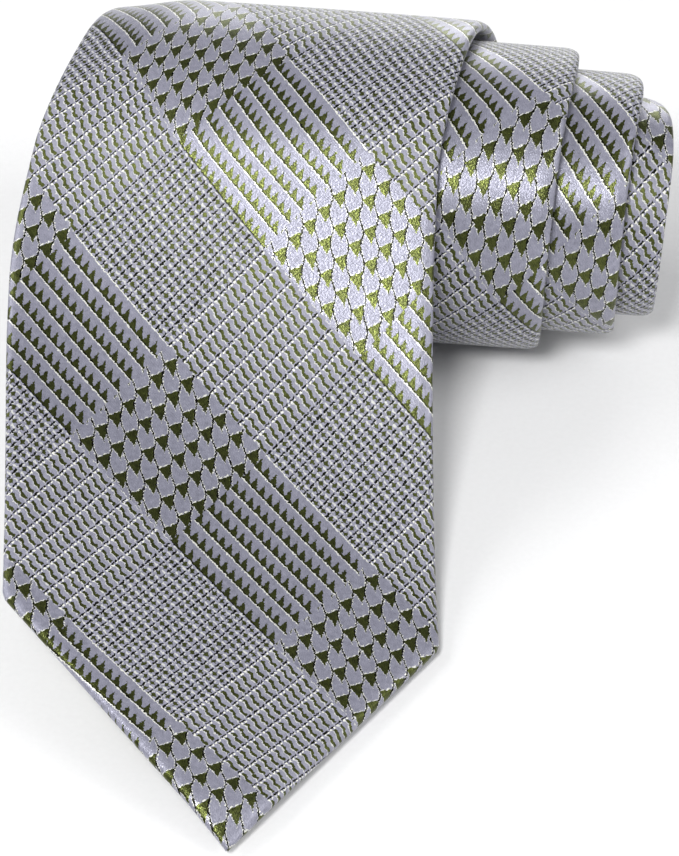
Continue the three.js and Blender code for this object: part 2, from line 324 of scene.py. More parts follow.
# %% [markdown]
# Within a band the motifs repeat. The way across the band is counted in steps of one
# motif, and what is left over a whole step is the place within that motif.
# %% Silk: the place within one repeat
star_steps_p = add_node(tree, "Math", band_p, STAR_P, operation="DIVIDE")
star_p = add_node(tree, "Math", star_steps_p, operation="FRACT")
star_steps_q = add_node(tree, "Math", band_q, STAR_Q, operation="DIVIDE")
waves_p = add_node(tree, "Math", band_p, WAVES_P, operation="DIVIDE")
waves_p = add_node(tree, "Math", waves_p, operation="FRACT")
teeth_q = add_node(tree, "Math", band_q, TEETH_Q, operation="DIVIDE")
teeth_q = add_node(tree, "Math", teeth_q, operation="FRACT")
fine_p = add_node(tree, "Math", band_p, -BROAD_P, operation="ADD")
fine_q = add_node(tree, "Math", band_q, -BROAD_Q, operation="ADD")
grid_steps_p = add_node(tree, "Math", fine_p, GRID_P, operation="DIVIDE")
grid_p = add_node(tree, "Math", grid_steps_p, operation="FRACT")
grid_steps_q = add_node(tree, "Math", fine_q, GRID_Q, operation="DIVIDE")
grid_q = add_node(tree, "Math", grid_steps_q, operation="FRACT")
print("a star repeat is", round(STAR_P, 2), "by", round(STAR_Q, 2), "mm")

# %% [markdown]
# A field of stars stands in upright columns, for the threads run slantwise over the tie.
# Down each column a dark four-horned star and a pale shape with two prongs follow one
# another, and the next column is half a repeat lower. The columns bulge into each other
# in turn, a thin dark thread parts them, and cream rims outline the shapes: pale float
# threads, painted brighter as the highlight on their raised edges.
# %% Silk: the columns of stars
BULGE, COLUMN_SHIFT = 0.12, 0.08  # of a column's width
STAR_CENTRE_P, STAR_CENTRE_Q = 0.708, 0.412  # where the first star stands, in steps
PARTING_AT, SIDE_RIM_AT = 0.448, 0.405  # from a column's middle, of its width
star_a = add_node(tree, "Math", star_steps_p, -STAR_CENTRE_P, operation="ADD")
star_b = add_node(tree, "Math", star_steps_q, -STAR_CENTRE_Q, operation="ADD")
column_place = add_node(tree, "Math", star_a, star_b, operation="ADD")
height_place = add_node(tree, "Math", star_b, star_a, operation="SUBTRACT")
swell = add_node(tree, "Math", height_place, math.pi, operation="MULTIPLY")
swell = add_node(tree, "Math", swell, operation="COSINE")
side = add_node(tree, "Math", column_place, math.pi, operation="MULTIPLY")
side = add_node(tree, "Math", side, operation="SINE")
bulge = add_node(tree, "Math", swell, side, operation="MULTIPLY")
bulge = add_node(tree, "Math", bulge, BULGE, COLUMN_SHIFT, operation="MULTIPLY_ADD")
swollen_place = add_node(tree, "Math", column_place, bulge, operation="ADD")
column = add_node(tree, "Math", swollen_place, operation="ROUND")
from_middle = add_node(tree, "Math", swollen_place, column, operation="SUBTRACT")
from_middle = add_node(tree, "Math", from_middle, operation="ABSOLUTE")
print("a column is", round(STAR_P * STAR_Q / (STAR_P + STAR_Q), 2), "mm wide")

# %% [markdown]
# A star is what stays dark in its column above the notch of one pale shape and below the
# foot of the next. The notch's sides are curved, which draws the star's horns out thin.
# %% Silk: one star
FOOT_AT, NOTCH_AT, RIM = 0.18, -0.38, 0.018  # of a repeat's height
FOOT_SLANT, NOTCH_SLANT, NOTCH_SIDE = 0.25, 0.20, 0.075
NOTCH_STEEP, NOTCH_CURVE = 0.82, 0.8  # a power under one makes the sides hollow
in_column = add_node(tree, "Math", column_place, column, operation="SUBTRACT")
steps_up = add_node(tree, "Math", height_place, column, operation="ADD")
steps_up = add_node(tree, "Math", steps_up, 0.5, operation="MULTIPLY")
in_step = add_node(tree, "Math", steps_up, 0.5, -0.5, operation="WRAP")
under_foot = add_node(tree, "Math", in_column, -FOOT_SLANT, in_step, operation="MULTIPLY_ADD")
from_notch = add_node(tree, "Math", in_column, -NOTCH_SIDE, operation="ADD")
from_notch = add_node(tree, "Math", from_notch, operation="ABSOLUTE")
from_notch = add_node(tree, "Math", from_notch, NOTCH_CURVE, operation="POWER")
over_notch = add_node(tree, "Math", in_column, -NOTCH_SLANT, in_step, operation="MULTIPLY_ADD")
over_notch = add_node(tree, "Math", from_notch, -NOTCH_STEEP, over_notch,
                      operation="MULTIPLY_ADD")
below_foot = add_node(tree, "Math", under_foot, FOOT_AT, operation="LESS_THAN")
above_notch = add_node(tree, "Math", over_notch, NOTCH_AT, operation="GREATER_THAN")
star_dark = add_node(tree, "Math", above_notch, below_foot, operation="MULTIPLY")
parting = add_node(tree, "Math", from_middle, PARTING_AT, operation="GREATER_THAN")
stars_dark = add_node(tree, "Math", star_dark, parting, operation="MAXIMUM")

# the cream rims are pale float threads and also a painted highlight on their raised edges
notch_rim = add_node(tree, "Math", over_notch, NOTCH_AT - RIM, RIM, operation="COMPARE")
foot_rim = add_node(tree, "Math", under_foot, FOOT_AT + RIM, RIM, operation="COMPARE")
side_rim = add_node(tree, "Math", from_middle, SIDE_RIM_AT, operation="GREATER_THAN")
rims = add_node(tree, "Math", notch_rim, foot_rim, operation="MAXIMUM")
rims = add_node(tree, "Math", rims, side_rim, operation="MAXIMUM")
FLOATS, FLOAT_WIDTH = 10.0, 0.62  # threads to a repeat, and how much of its room each fills
floats = add_node(tree, "Math", star_p, FLOATS, operation="MULTIPLY")
floats = add_node(tree, "Math", floats, operation="FRACT")
floats = add_node(tree, "Math", floats, FLOAT_WIDTH, operation="LESS_THAN")
star_pale_rims_and_highlight = add_node(tree, "Math", rims, floats, operation="MULTIPLY")
print("a star is", round((FOOT_AT - NOTCH_AT) * 100), "per cent of its repeat's height")

# %% [markdown]
# A field of teeth: rows of dark teeth stand on a thin dark line and lean one way, as the
# twill does, and a pale thread runs under each row.
# %% Silk: the field of teeth
TOOTH_HEIGHT, TOOTH_FOOT = 2.6, 2.15  # mm
TOOTH_LINE, PALE_LINE = 0.13, 0.945  # of a row: the dark one's end, the pale one's start
tooth_up = add_node(tree, "Math", teeth_q, TEETH_Q, operation="MULTIPLY")
tooth_at = add_node(tree, "Math", grid_p, GRID_P, operation="MULTIPLY")
slant_side = add_node(tree, "Math", tooth_up, TOOTH_FOOT / TOOTH_HEIGHT, tooth_at,
                      operation="MULTIPLY_ADD")
tooth = add_node(tree, "Math", slant_side, TOOTH_FOOT, operation="LESS_THAN")
tooth_line = add_node(tree, "Math", teeth_q, TOOTH_LINE, operation="LESS_THAN")
teeth_dark = add_node(tree, "Math", tooth, tooth_line, operation="MAXIMUM")
teeth_pale = add_node(tree, "Math", teeth_q, PALE_LINE, operation="GREATER_THAN")
print("tooth height", TOOTH_HEIGHT, "mm")

# %% [markdown]
# A field of waves: a dashed black thread and a white one run side by side across the
# field once in every repeat, and short wavy dark strokes lie between them.
# %% Silk: the field of waves
DASH, WAVE_LINE = 0.76, 0.085  # the black dash's length and width, of a repeat
WHITE_AT, WHITE_HALF, SHORT_DASH = 0.13, 0.04, 0.55
WAVINESS, WAVE_LEAN = 0.09, 0.42  # the strokes sway twice in a repeat, and lean
STROKE_AT, STROKE_HALF, PALE_AT, PALE_HALF = 0.53, 0.19, 0.29, 0.055
dash = add_node(tree, "Math", grid_q, DASH, operation="LESS_THAN")
wave_line = add_node(tree, "Math", waves_p, WAVE_LINE, operation="LESS_THAN")
wave_line = add_node(tree, "Math", wave_line, dash, operation="MULTIPLY")
white_line = add_node(tree, "Math", waves_p, WHITE_AT, WHITE_HALF, operation="COMPARE")
half_dash = add_node(tree, "Math", grid_q, 2.0, operation="MULTIPLY")
half_dash = add_node(tree, "Math", half_dash, operation="FRACT")
half_dash = add_node(tree, "Math", half_dash, SHORT_DASH, operation="LESS_THAN")
white_line = add_node(tree, "Math", white_line, half_dash, operation="MULTIPLY")
ripple = add_node(tree, "Math", waves_p, 2 * math.tau, operation="MULTIPLY")
ripple = add_node(tree, "Math", ripple, operation="SINE")
ripple_place = add_node(tree, "Math", ripple, WAVINESS, grid_q, operation="MULTIPLY_ADD")
ripple_place = add_node(tree, "Math", waves_p, WAVE_LEAN, ripple_place,
                        operation="MULTIPLY_ADD")
ripple_place = add_node(tree, "Math", ripple_place, operation="FRACT")
stroke = add_node(tree, "Math", ripple_place, STROKE_AT, STROKE_HALF, operation="COMPARE")
stroke_part = add_node(tree, "Math", waves_p, 0.56, 0.37, operation="COMPARE")
stroke = add_node(tree, "Math", stroke, stroke_part, operation="MULTIPLY")
waves_dark = add_node(tree, "Math", wave_line, stroke, operation="MAXIMUM")
pale_stroke = add_node(tree, "Math", ripple_place, PALE_AT, PALE_HALF, operation="COMPARE")
pale_stroke = add_node(tree, "Math", pale_stroke, 0.6, operation="MULTIPLY")
waves_pale = add_node(tree, "Math", pale_stroke, white_line, operation="MAXIMUM")
print("a wave repeat is", round(WAVES_P, 2), "by", round(GRID_Q, 2), "mm")

# %% [markdown]
# The fine field: black threads cross it every two millimetres, broken into dashes, with
# a small dark cross and a pale knot in each square.
# %% Silk: the fine field
CROSS_AT_P, CROSS_AT_Q = 0.55, 0.36  # where in its square the small cross stands
CROSS_SIZE, CROSS_HORNS = 0.64, 0.6  # a power under one gives it hollow sides
thin_line = add_node(tree, "Math", grid_p, 0.20, operation="LESS_THAN")
thin_line = add_node(tree, "Math", thin_line, dash, operation="MULTIPLY")
away = []
for grid, centre in ((grid_p, CROSS_AT_P), (grid_q, CROSS_AT_Q)):
    off_centre = add_node(tree, "Math", grid, centre, operation="SUBTRACT")
    off_centre = add_node(tree, "Math", off_centre, operation="ABSOLUTE")
    away.append(add_node(tree, "Math", off_centre, CROSS_HORNS, operation="POWER"))
small_cross = add_node(tree, "Math", *away, operation="ADD")
small_dark = add_node(tree, "Math", small_cross, CROSS_SIZE, operation="LESS_THAN")
fine_dark = add_node(tree, "Math", thin_line, small_dark, operation="MAXIMUM")
knot_p = add_node(tree, "Math", grid_p, 0.235, 0.06, operation="COMPARE")
cross_part = add_node(tree, "Math", grid_p, 0.55, operation="GREATER_THAN")
knot_q = add_node(tree, "Math", grid_q, 0.86, 0.10, operation="COMPARE")
knot_q = add_node(tree, "Math", knot_q, cross_part, operation="MULTIPLY")
knot_p = add_node(tree, "Math", knot_p, half_dash, operation="MULTIPLY")
fine_pale = add_node(tree, "Math", knot_p, knot_q, operation="MAXIMUM")
fine_pale = add_node(tree, "Math", fine_pale, 0.6, operation="MULTIPLY")
print("a fine square is", round(GRID_P, 2), "by", round(GRID_Q, 2), "mm")

# %% [markdown]
# The four fields are joined by the two band masks, once for the dark threads and once
# for the pale marks: pale threads, which round the stars also carry a painted highlight.
# %% Silk: joining the fields
broad_dark = add_node(tree, "Mix", in_broad_q, waves_dark, stars_dark)
narrow_dark = add_node(tree, "Mix", in_broad_q, fine_dark, teeth_dark)
dark = add_node(tree, "Mix", in_broad_p, narrow_dark, broad_dark)
broad_pale = add_node(tree, "Mix", in_broad_q, waves_pale, star_pale_rims_and_highlight)
narrow_pale = add_node(tree, "Mix", in_broad_q, fine_pale, teeth_pale)
pale = add_node(tree, "Mix", in_broad_p, narrow_pale, broad_pale)
print("fields joined with", len(tree.nodes), "nodes so far")

# %% [markdown]
# The ground is a lilac thread under half a millimetre thick, woven as a fine rib with a
# twill across it. The rib and twill are painted into the colour too, lighter on their
# crests and darker in the grooves between them: painted shade. Threads also differ a
# little in depth of colour, so a slow noise moves the ground by a few per cent. The olive
# threads are dark until light catches them, and the thin lines between the motifs are black.
# %% Silk: threads and colours
RIB, TWILL = 0.47, 0.61  # mm from rib to rib, and from twill line to twill line
rib_turn = add_node(tree, "Math", along_q, math.tau / RIB, operation="MULTIPLY")
rib = add_node(tree, "Math", rib_turn, operation="SINE")
twill_turn = add_node(tree, "Math", along_p, math.tau / TWILL, rib_turn,
                      operation="MULTIPLY_ADD")
twill = add_node(tree, "Math", twill_turn, operation="SINE")
thread_height = add_node(tree, "Math", rib, 0.5, twill, operation="MULTIPLY_ADD")
slub = add_node(tree, "TexNoise", cloth_map, 0.9, 4.0, 0.6)
slub_level = add_node(tree, "MapRange", slub.outputs[0], 0.3, 0.7, -0.6, 0.6)
# painted shade: the thread height darkens the grooves of the rib and twill; the slub noise adds a
# real random tone
rib_shade_and_slub = add_node(tree, "Math", thread_height, 0.35, slub_level, operation="MULTIPLY_ADD")
rib_shade_and_slub_level = add_node(tree, "MapRange", rib_shade_and_slub, -1.0, 1.0, 0.0, 1.0)
ground = add_node(tree, "Mix", rib_shade_and_slub_level, None, None, data_type="RGBA")
ground.inputs["A"].default_value = linear("#787886")
ground.inputs["B"].default_value = linear("#9E9EAE")
olive = add_node(tree, "Mix", rib_shade_and_slub_level, None, None, data_type="RGBA")
olive.inputs["A"].default_value = linear("#2C2F1A")
olive.inputs["B"].default_value = linear("#5E6530")
# cream: the pale threads, and on the star rims also a painted highlight on the raised float edges
with_pale = add_node(tree, "Mix", pale, data_type="RGBA")
tree.links.new(ground.outputs["Result"], with_pale.inputs["A"])
with_pale.inputs["B"].default_value = linear("#E6E6DC")
# the dashed lines of the close fields are woven from a black yarn; the thread that parts the
# stars and the foot of each row of teeth are black as well, partly dark thread and partly
# painted shadow beside the raised floats
tooth_foot = add_node(tree, "Math", teeth_q, 0.055, operation="LESS_THAN")
close_lines = add_node(tree, "Mix", in_broad_p, thin_line, wave_line)
open_lines_and_shadow = add_node(tree, "Mix", in_broad_p, tooth_foot, parting)
black_lines_and_shadow = add_node(tree, "Mix", in_broad_q, close_lines, open_lines_and_shadow)
# black: the black yarn, and at the star partings and tooth feet also painted shadow
dark_thread_and_shadow = add_node(tree, "Mix", black_lines_and_shadow, data_type="RGBA")
tree.links.new(olive.outputs["Result"], dark_thread_and_shadow.inputs["A"])
dark_thread_and_shadow.inputs["B"].default_value = linear("#12130B")
coloured = add_node(tree, "Mix", dark, data_type="RGBA")
for source, socket in ((with_pale, "A"), (dark_thread_and_shadow, "B")):
    tree.links.new(source.outputs["Result"], coloured.inputs[socket])
tree.links.new(coloured.outputs["Result"], silk_shader.inputs["Base Color"])
print("ribs", RIB, "mm apart")

# %% [markdown]
# Dyed silk shines along its threads: the lilac answers light with a silvery glow and the
# olive threads flash green. Stars and teeth are woven with long floats, which shine, and
# the close fields, whose threads dip under each other at every turn, are duller.
# %% Silk: shine and relief
shine = add_node(tree, "MapRange", in_broad_q, 0.0, 1.0, 0.50, 0.35)
shine = add_node(tree, "Math", dark, -0.06, shine, operation="MULTIPLY_ADD")
tree.links.new(shine.outputs[0], silk_shader.inputs["Roughness"])
ground_shine = add_node(tree, "MapRange", in_broad_q, 0.0, 1.0, 0.10, 0.30)
metal_like = add_node(tree, "Mix", dark, ground_shine, 0.85)
tree.links.new(metal_like.outputs[0], silk_shader.inputs["Metallic"])
silk_shader.inputs["IOR"].default_value = 1.54
silk_shader.inputs["Sheen Weight"].default_value = 0.18
silk_shader.inputs["Sheen Roughness"].default_value = 0.35

relief = add_node(tree, "Math", dark, 1.2, thread_height, operation="MULTIPLY_ADD")
relief = add_node(tree, "Math", pale, 1.6, relief, operation="MULTIPLY_ADD")
silk_bump = add_node(tree, "Bump", 0.5, 0.00002)
tree.links.new(relief.outputs[0], silk_bump.inputs["Height"])
tree.links.new(silk_bump.outputs[0], silk_shader.inputs["Normal"])
print("silk has", len(tree.nodes), "nodes")

# %% [markdown]
# The interlining is brushed wool: a thick, hairy, undyed weave that gives a tie its
# body. It is matt, so it has a high roughness and a coarse bump.
# %% Brushed wool interlining
wool, tree, shader = new_material("brushed_wool_interlining")
place = add_node(tree, "UVMap", uv_map="Cloth")
weave = add_node(tree, "TexWave", place, 0.5, 2.0, 2.0, 1.5, bands_direction="X")
weave_across = add_node(tree, "TexWave", place, 0.5, 2.0, 2.0, 1.5, bands_direction="Y")
hair = add_node(tree, "TexNoise", place, 1.3, 5.0, 0.7)
crossing = add_node(tree, "Math", weave.outputs["Fac"], weave_across.outputs["Fac"],
                    operation="MULTIPLY")
fuzz = add_node(tree, "Math", crossing, 0.6, hair.outputs[0], operation="MULTIPLY_ADD")
wool_colour = add_node(tree, "ValToRGB", fuzz)
wool_colour.color_ramp.elements[0].color = linear("#C9C0AC")
wool_colour.color_ramp.elements[1].color = linear("#EDE7D8")
tree.links.new(wool_colour.outputs[0], shader.inputs["Base Color"])
wool_bump = add_node(tree, "Bump", 0.6, 0.0003)
tree.links.new(fuzz.outputs[0], wool_bump.inputs["Height"])
tree.links.new(wool_bump.outputs[0], shader.inputs["Normal"])
shader.inputs["Roughness"].default_value = 0.95
shader.inputs["Sheen Weight"].default_value = 0.5

# %% [markdown]
# Tipping is a thin plain-woven acetate, dyed olive to go with the dark threads. Its
# smooth filaments give it a tighter, brighter shine than the face cloth.
# %% Acetate tipping
acetate, tree, shader = new_material("woven_acetate_tipping")
place = add_node(tree, "UVMap", uv_map="Cloth")
warp = add_node(tree, "TexWave", place, 1.4, 0.6, 1.0, 2.0, bands_direction="X")
weft = add_node(tree, "TexWave", place, 1.4, 0.6, 1.0, 2.0, bands_direction="Y")
plain = add_node(tree, "Math", warp.outputs["Fac"], weft.outputs["Fac"], operation="MULTIPLY")
cloud = add_node(tree, "TexNoise", place, 0.15, 3.0, 0.5)
acetate_tone = add_node(tree, "Math", plain, 0.35, cloud.outputs[0], operation="MULTIPLY_ADD")
acetate_colour = add_node(tree, "ValToRGB", acetate_tone)
acetate_colour.color_ramp.elements[0].color = linear("#3A3C22")
acetate_colour.color_ramp.elements[1].color = linear("#5E6038")
tree.links.new(acetate_colour.outputs[0], shader.inputs["Base Color"])
acetate_bump = add_node(tree, "Bump", 0.3, 0.0001)
tree.links.new(plain.outputs[0], acetate_bump.inputs["Height"])
tree.links.new(acetate_bump.outputs[0], shader.inputs["Normal"])
shader.inputs["Roughness"].default_value = 0.34
shader.inputs["IOR"].default_value = 1.47

# %% [markdown]
# The sewing thread is spun silk of two plies. The twist shows as slanting bands along
# the thread, so the pattern runs on the thread's own map.
# %% Spun sewing thread
spun, tree, shader = new_material("spun_silk_thread")
place = add_node(tree, "UVMap", uv_map="Cloth")
plies = add_node(tree, "TexWave", place, 1.1, 0.3, 1.0, 1.0, bands_direction="DIAGONAL")
fibre = add_node(tree, "TexNoise", place, 3.0, 3.0, 0.6)
ply_tone = add_node(tree, "Math", plies.outputs["Fac"], 0.6, fibre.outputs[0],
                    operation="MULTIPLY_ADD")
thread_colour = add_node(tree, "ValToRGB", ply_tone)
thread_colour.color_ramp.elements[0].color = linear("#6F705C")
thread_colour.color_ramp.elements[1].color = linear("#B2B2A0")
tree.links.new(thread_colour.outputs[0], shader.inputs["Base Color"])
ply_bump = add_node(tree, "Bump", 0.5, 0.0001)
tree.links.new(plies.outputs["Fac"], ply_bump.inputs["Height"])
tree.links.new(ply_bump.outputs[0], shader.inputs["Normal"])
shader.inputs["Roughness"].default_value = 0.5
print("materials", [m.name for m in (silk, wool, acetate, spun)])

PRESSED_AT, PRESSED_REACH, PRESSED_MOST = 90.0, 60.0, 1.35
PULL_AT, PULL_LENGTH, PULL = 215.0, 90.0, 21.0  # mm of wound cloth, and of give


def bias_stretch(s):
    """Where along the unstretched cloth the place s comes from."""
    reach = min(max((s - PRESSED_AT) / PRESSED_REACH, -PRESSED_MOST), PRESSED_MOST)
    pulled = min(max((s - ROLL_START - PULL_AT) / PULL_LENGTH, 0.0), 1.0)
    return s - 0.6 * reach ** 2 + 3.64 * reach ** 3 + PULL * pulled


print("check on 100 mm of the turn's back", round(bias_stretch(460) - bias_stretch(360), 1))

# %% [markdown]
# Sheets of cloth are laid one by one: a flat grid in the cloth's own millimetres, folded
# and bent by spot(), with the same millimetres kept as its map, so that the weave gives
# only where bias_stretch() lets it. Solidify then gives the cloth its thickness, on the
# inside.
# %% Laying a sheet
def apply_modifier(piece, kind, **settings):
    modifier = piece.modifiers.new(kind.title(), kind)
    for key, value in settings.items():
        setattr(modifier, key, value)
    bpy.ops.object.select_all(action="DESELECT")
    piece.select_set(True)
    bpy.context.view_layer.objects.active = piece
    bpy.ops.object.modifier_apply(modifier=modifier.name)


def lay_sheet(name, places, section, thickness, material, inside=-1.0, cut_from=0.0):
    """A sheet through one section at each place. A section is a list of (t, n, u).

    cut_from says how far along the check, in mm, this length was cut."""
    corners, faces, uvs = [], [], []
    for s in places:
        for t, n, u in section(s):
            corners.append(spot(s, t, n))
            uvs.append((u, bias_stretch(s) + cut_from))
    width = len(corners) // len(places)
    for row in range(len(places) - 1):
        for column in range(width - 1):
            a = row * width + column
            faces.append((a, a + 1, a + 1 + width, a + width))
    mesh = bpy.data.meshes.new(name)
    mesh.from_pydata(corners, [], faces)
    cloth_uv = mesh.uv_layers.new(name="Cloth")
    for loop in mesh.loops:
        cloth_uv.data[loop.index].uv = uvs[loop.vertex_index]
    mesh.materials.append(material)
    piece = bpy.data.objects.new(name, mesh)
    bpy.context.collection.objects.link(piece)
    apply_modifier(piece, "SOLIDIFY", thickness=thickness * MM, offset=inside)
    piece.data.shade_smooth()
    return piece


# %% [markdown]
# The envelope's section: over the face, round a soft edge, and back to the middle. The
# edge of a good tie is rolled and not pressed hard, so it is half an ellipse. Towards
# the core the roll is tight, and the envelope is squeezed thinner.
# %% The envelope's section
FACE, BACK = 1.8, -1.2  # mm above and below the interlining's middle
CORE_SQUEEZE, EDGE_REACH, CROWN = 0.52, 3.0, 0.22


def face_height(s):
    """How far the face stands above the interlining's middle."""
    core_start = ROLL_START + OUTER_LENGTH
    return FACE - CORE_SQUEEZE * smooth(core_start - 160, core_start - 40, s)


def folded_section(s):
    """From the left flap's edge over the face to the right flap's edge."""
    w = half_width(s)
    plump = min(1.0, 0.35 + w / 12)
    top = BACK + (face_height(s) - BACK) * plump
    edge = min(EDGE_REACH, w * 0.45)
    free = min(flap_edge(s), (w - edge) * 0.9)
    middle_n, half_n = (top + BACK) / 2, (top - BACK) / 2
    side = []
    for i in range(15):
        t = (w - edge) * i / 14
        side.append((t, top - CROWN * (t / w) ** 2 * plump))
    shoulder = side[-1][1]
    for i in range(1, 10):
        a = math.pi * (0.5 - i / 9)
        high = shoulder - middle_n if a > 0 else half_n
        side.append((w - edge + edge * math.cos(a), middle_n + high * math.sin(a)))
    for i in range(1, 10):
        side.append((w - edge + (free - w + edge) * i / 9, BACK))
    run, measured = 0.0, [(*side[0], 0.0)]
    for (t0, n0), (t1, n1) in zip(side, side[1:]):
        run += math.hypot(t1 - t0, n1 - n0)
        measured.append((t1, n1, run))
    left = [(-t, n, -u) for t, n, u in reversed(measured[1:])]
    return left + measured


def girth(s):
    """The cloth's width when it is opened out flat."""
    section = folded_section(s)
    return section[-1][2] - section[0][2]


def flat_size(start, end):
    """Width, length and area of the cut cloth between two places, in metres."""
    steps = [start + (end - start) * (i + 0.5) / 60 for i in range(60)]
    area = sum(girth(s) for s in steps) * (end - start) / 60
    width = max(girth(s) for s in steps)
    return (width * MM, (end - start) * MM), area * MM * MM


print("girth of the blade", round(girth(100), 1), "mm")

# %% [markdown]
# The face cloth is three lengths sewn end to end. The front length is modelled in two
# parts that meet under the roll: the drawn-out blade, which bends at the top of the
# roll as it is lifted, and the wound part, which stays.
# %% The face cloth
CLOTH = 0.45  # mm thick
HALF_GAP = 0.15
TURN_IN, TURN_IN_REACH = 0.45, 1.6  # how deep and how far the raw ends are turned in
CHECK_STEP = -41.0  # under the roll, where it is never seen, the check starts afresh


def seamed(start, end, turned_in):
    """The envelope with its raw end turned in where two lengths are sewn together."""
    def section(s):
        near = min(abs(s - place) for place in turned_in) if turned_in else 9.0
        sink = TURN_IN * (1 - smooth(0.0, TURN_IN_REACH, near))
        return [(t, n - sink if n > 0 else n, u) for t, n, u in folded_section(s)]
    return section


lengths = {
    "blade_face_cloth": (-0.9, SPLIT, (), "blade_cloth"),
    "wound_face_cloth": (SPLIT, FRONT_JOIN, (FRONT_JOIN,), "wound_blade_cloth"),
    "neck_face_cloth": (FRONT_JOIN + HALF_GAP, REAR_JOIN, (FRONT_JOIN, REAR_JOIN),
                        "neck_cloth"),
    "tail_face_cloth": (REAR_JOIN + HALF_GAP, TIE_LENGTH + 0.9, (REAR_JOIN,), "tail_cloth"),
}
face_cloth = {}
for name, (start, end, turned_in, node) in lengths.items():
    piece = lay_sheet(name, stations(start, end), seamed(start, end, turned_in), CLOTH, silk,
                      cut_from=CHECK_STEP if start >= SPLIT else 0.0)
    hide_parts(node)
    face_cloth[name] = piece
    print(name, len(piece.data.polygons), "faces")

# %% [markdown]
# Inside the envelope lies the interlining, a flat strip as long as the tie and a little
# narrower. It is split at the same place as the face cloth.
# %% The interlining
WOOL, WOOL_MARGIN = 0.85, 2.6  # mm: its thickness, and how far it stays from the fold
WOOL_START, WOOL_END = 7.0, TIE_LENGTH - 6.0  # mm from the wide blade's tip


def flat_section(half, level, columns):
    """A flat strip, half(s) wide to either side, at one level in the envelope."""
    def section(s):
        w = half(s)
        return [(w * (2 * i / columns - 1), level, w * (2 * i / columns - 1))
                for i in range(columns + 1)]
    return section


def strip_size(start, end, half):
    """Width, length and area of a flat strip between two places, in metres."""
    steps = [start + (end - start) * (i + 0.5) / 60 for i in range(60)]
    area = sum(2 * half(s) for s in steps) * (end - start) / 60
    return (max(2 * half(s) for s in steps) * MM, (end - start) * MM), area * MM * MM


def interlining_half(s):
    return half_width(s) - min(WOOL_MARGIN, half_width(s) * 0.4)


strips = {
    "blade_wool": (WOOL_START, SPLIT, "blade_interlining"),
    "roll_wool": (SPLIT, WOOL_END, "roll_interlining"),
}
wool_strips = {}
for name, (start, end, node) in strips.items():
    piece = lay_sheet(name, stations(start, end, 2.4),
                      flat_section(interlining_half, 0.0, 12), WOOL, wool, 0.0)
    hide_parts(node)
    wool_strips[name] = piece
print("interlining from", WOOL_START, "to", WOOL_END, "mm, split at", round(SPLIT, 1))

# %% [markdown]
# Behind each tip the flaps part and show the tipping, a small lining that covers the
# interlining and is caught under the hems.
# %% The tipping
TIPPING, TIPPING_LEVEL = 0.16, -0.6  # mm thick, and mm under the interlining's middle
FOLD_CLEAR, UNDER_FLAP = 3.6, 5.0  # mm it stays from the fold, and reaches under a flap


def tipping_half(s):
    return min(half_width(s) - FOLD_CLEAR, flap_edge(s) + UNDER_FLAP)


linings = {
    "blade_lining": (5.5, BLADE_SEAM + 8.0, "blade_tipping", "blade"),
    "tail_lining": (TAIL_SEAM - 6.0, TIE_LENGTH - 9.0, "tail_tipping", "roll"),
}
for name, (start, end, node, body) in linings.items():
    piece = lay_sheet(name, stations(start, end, 2.0),
                      flat_section(tipping_half, TIPPING_LEVEL, 14), TIPPING, acetate, 0.0)
    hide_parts(node)
    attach(piece, body)
    print(name, "covers", round(end - start, 1), "mm")

# %% [markdown]
# The keeper loop is a narrow band of the face cloth on the back of the wide blade, and
# the tail end is slipped through it. Both its ends are caught in the seam.
# %% The keeper loop
KEEPER_START, KEEPER_WIDTH, KEEPER_HALF = 195.0, 12.0, 22.0
KEEPER_THICK, KEEPER_CLEAR, KEEPER_BOW, KEEPER_ROUND = 0.4, 0.30, 0.28, 0.132  # mm
KEEPER_CUT = 210  # mm across the check, so that it doesn't run on from the blade


def keeper_section(s):
    """Across the back of the blade, rounded at its edges and bowed in the middle."""
    across = (s - KEEPER_START) / KEEPER_WIDTH
    rounded = KEEPER_ROUND * (1 - (2 * across - 1) ** 4)
    band = []
    for i in range(33):
        t = KEEPER_HALF * (2 * i / 32 - 1)
        bowed = KEEPER_BOW * (1 - (t / KEEPER_HALF) ** 4)
        band.append((-t, BACK - KEEPER_CLEAR - rounded - bowed, -t + KEEPER_CUT))
    return band


keeper = lay_sheet(
    "keeper_band", [KEEPER_START + KEEPER_WIDTH * i / 14 for i in range(15)],
    keeper_section, KEEPER_THICK, silk, 0.0)
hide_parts("keeper_loop")
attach(keeper, "roll")
print("keeper", KEEPER_WIDTH, "by", 2 * KEEPER_HALF, "mm")

# %% [markdown]
# The seam at the back is closed by one long loose thread that slips from flap to flap,
# and a bar tack of close satin stitches locks it at either end. Threads are thin tubes
# through points on the tie.
# %% Threads
def thread_rings(points, radius, sides):
    """Rings of corners round a path of (s, t, n) points, and the length along it."""
    places = [spot(*p) for p in points]
    rings, run = [], 0.0
    for i, centre in enumerate(places):
        before, after = places[max(i - 1, 0)], places[min(i + 1, len(places) - 1)]
        ahead = [b - a for a, b in zip(before, after)]
        size = math.sqrt(sum(a * a for a in ahead)) or 1.0
        ahead = [a / size for a in ahead]
        s, t, n = points[i]
        out = [b - a for a, b in zip(centre, spot(s, t, n + 1.0))]
        side = (ahead[1] * out[2] - ahead[2] * out[1], ahead[2] * out[0] - ahead[0] * out[2],
                ahead[0] * out[1] - ahead[1] * out[0])
        size = math.sqrt(sum(a * a for a in side)) or 1.0
        side = [a / size for a in side]
        up = (side[1] * ahead[2] - side[2] * ahead[1], side[2] * ahead[0] - side[0] * ahead[2],
              side[0] * ahead[1] - side[1] * ahead[0])
        if i:
            run += math.dist(places[i - 1], centre) / MM
        ring = []
        for k in range(sides):
            a = math.tau * k / sides
            ring.append(tuple(c + radius * MM * (math.cos(a) * x + math.sin(a) * y)
                              for c, x, y in zip(centre, side, up)))
        rings.append((ring, run))
    return rings


